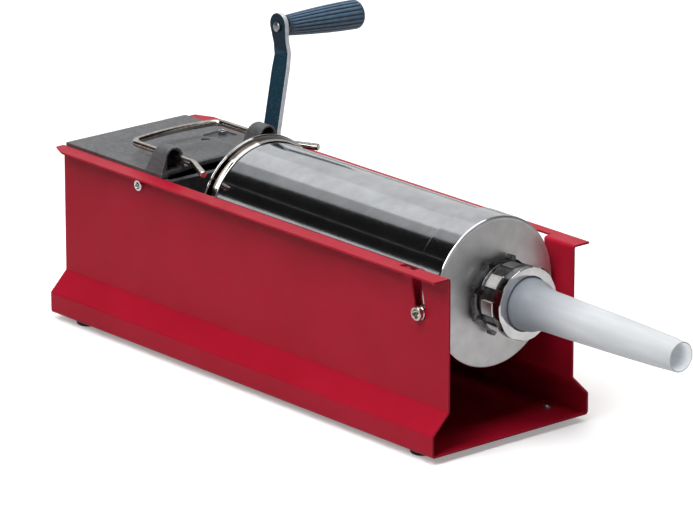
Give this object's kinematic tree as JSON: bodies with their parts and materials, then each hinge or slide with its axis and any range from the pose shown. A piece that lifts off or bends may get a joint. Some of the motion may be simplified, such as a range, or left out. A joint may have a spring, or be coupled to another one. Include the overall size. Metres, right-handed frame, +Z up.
{
  "type": "sausage stuffer",
  "caption": "Horizontal hand-cranked sausage stuffer: folded sheet channel, steel meat cylinder, rack-driven piston, side crank and screwed-on filling funnel.",
  "frame": {"origin": "middle of the object's footprint box, on the surface it stands on", "axes": "+X from the gearbox towards the funnel's tip, +Y towards the crank side, +Z up"},
  "size_m": [0.817, 0.3466, 0.2951],
  "materials": {
    "red_paint": "gloss red stove enamel on folded steel sheet",
    "hammered_grey": "grey hammer-finish paint on cast metal",
    "cast_alloy": "as-cast, matt",
    "stainless": "satin stainless steel",
    "polished_stainless": "mirror-polished stainless steel or chrome plate",
    "machined_steel": "machined steel",
    "dark_steel": "blackened steel",
    "crank_steel": "blue-grey dipped steel with bright worn edges",
    "bronze": "machined bronze",
    "rubber_black": "matt black rubber",
    "seal_white": "food-grade off-white rubber",
    "piston_nylon": "turned white food-grade nylon",
    "grip_plastic": "slate blue-grey moulded plastic",
    "funnel_plastic": "translucent white food-grade plastic"
  },
  "bodies": {
    "base": {"cap_seal": "seal_white", "cover_screw": "machined_steel", "crank_bush_inner": "bronze", "crank_bush_outer": "bronze", "cylinder_collar": "polished_stainless", "cylinder_tube": "stainless", "foot_front_left": "rubber_black", "foot_front_right": "rubber_black", "foot_rear_left": "rubber_black", "foot_rear_right": "rubber_black", "foot_screw_front_left": "machined_steel", "foot_screw_front_right": "machined_steel", "foot_screw_rear_left": "machined_steel", "foot_screw_rear_right": "machined_steel", "front_cap": "polished_stainless", "funnel_gasket": "seal_white", "gearbox_case": "cast_alloy", "gearbox_cover": "hammered_grey", "housing_channel": "red_paint", "rack_guide": "bronze", "rack_shoe": "bronze", "rear_panel": "red_paint", "rear_screw_left": "machined_steel", "rear_screw_right": "machined_steel", "shaft_bush_left": "bronze", "shaft_bush_right": "bronze", "side_screw_left": "polished_stainless", "side_screw_right": "polished_stainless", "spout": "stainless", "trunnion_pin_left": "dark_steel", "trunnion_pin_right": "dark_steel"},
    "crank": {"crank_shaft": "machined_steel", "crank_circlip": "dark_steel", "input_pinion": "machined_steel", "input_pinion_pin": "dark_steel", "crank_hub": "dark_steel", "crank_arm": "crank_steel", "crank_screw": "dark_steel", "grip_spindle": "machined_steel", "grip_washer": "dark_steel"},
    "grip": {"grip": "grip_plastic"},
    "gear_shaft": {"pinion_shaft": "machined_steel", "rack_pinion": "machined_steel", "rack_pinion_pin": "dark_steel", "drive_gear": "machined_steel", "drive_gear_pin": "dark_steel"},
    "ram": {"rack_bar": "machined_steel", "piston_body": "piston_nylon", "piston_seal": "rubber_black", "piston_plate": "stainless", "piston_bolt": "stainless"},
    "bail": {"bail": "polished_stainless"},
    "nozzle": {"funnel": "funnel_plastic"},
    "ring_nut": {"ring_nut": "polished_stainless"}
  },
  "joints": [
    {"name": "crank_turn", "type": "hinge", "parent": "base", "child": "crank", "pos_m": [-0.30055, 0.02166, 0.155], "axis": [0, -1, 0], "range_deg": [-2535, 430]},
    {"name": "gear_shaft_turn", "type": "hinge", "parent": "base", "child": "gear_shaft", "pos_m": [-0.34482, -0.07334, 0.1145], "axis": [0, -1, 0], "range_deg": [-143.5, 845.2]},
    {"name": "ram_feed", "type": "slide", "parent": "base", "child": "ram", "axis": [1, 0, 0], "range_m": [-0.29502, 0.05006]},
    {"name": "grip_spin", "type": "hinge", "parent": "crank", "child": "grip", "pos_m": [-0.33056, 0.06544, 0.28097], "axis": [0.0101, 0.999, -0.0424], "continuous": true},
    {"name": "bail_slide", "type": "slide", "parent": "base", "child": "bail", "axis": [1, 0, 0], "range_m": [-0.019, 0]},
    {"name": "nozzle_release", "type": "slide", "parent": "base", "child": "nozzle", "axis": [1, 0, 0], "range_m": [0, 0.03201]},
    {"name": "ring_nut_turn", "type": "hinge", "parent": "nozzle", "child": "ring_nut", "pos_m": [0.17945, -0.07334, 0.145], "axis": [1, 0, 0], "range_deg": [0, 2880]}
  ],
  "couplings": [
    {"joint": "gear_shaft_turn", "follows": "crank_turn", "ratio": -0.33333},
    {"joint": "ram_feed", "follows": "crank_turn", "m_per_rad": 0.0066667},
    {"joint": "nozzle_release", "follows": "ring_nut_turn", "m_per_rad": 0.00063662}
  ]
}
